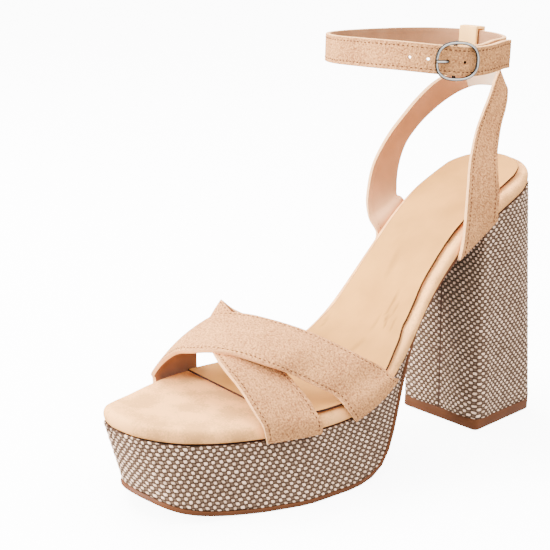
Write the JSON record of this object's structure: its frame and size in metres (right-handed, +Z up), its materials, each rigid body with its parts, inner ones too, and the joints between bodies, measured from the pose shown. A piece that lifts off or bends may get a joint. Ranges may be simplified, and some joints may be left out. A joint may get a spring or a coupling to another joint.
{
  "type": "heeled sandal",
  "caption": "Open-toe heeled sandal with crossed vamp straps, a woven-covered platform and block heel, a sling back and a buckled ankle strap, left foot.",
  "frame": {"origin": "on the floor under the middle of the whole sandal's bounding box", "axes": "+Z up from the floor, -Y towards the toe and +Y towards the heel, +X towards the lateral (outer) side of this left shoe"},
  "size_m": [0.0836, 0.2254, 0.1858],
  "materials": {
    "suede": "blush-beige faux suede with a soft grained nap",
    "sock": "smooth light beige synthetic sock lining",
    "woven": "chunky basket weave of off-white and dark brown yarn",
    "rubber": "caramel tan moulded rubber",
    "metal": "polished nickel-plated buckle"
  },
  "bodies": {
    "root": {"insole": "suede", "sock_lining": "sock", "outsole": "rubber", "platform": "woven", "heel_block": "woven", "top_piece": "rubber", "vamp_straps": "suede", "sling": "suede", "ankle_strap": "suede", "back_loop": "suede", "buckle_frame": "metal", "buckle_prong": "metal"}
  },
  "joints": []
}
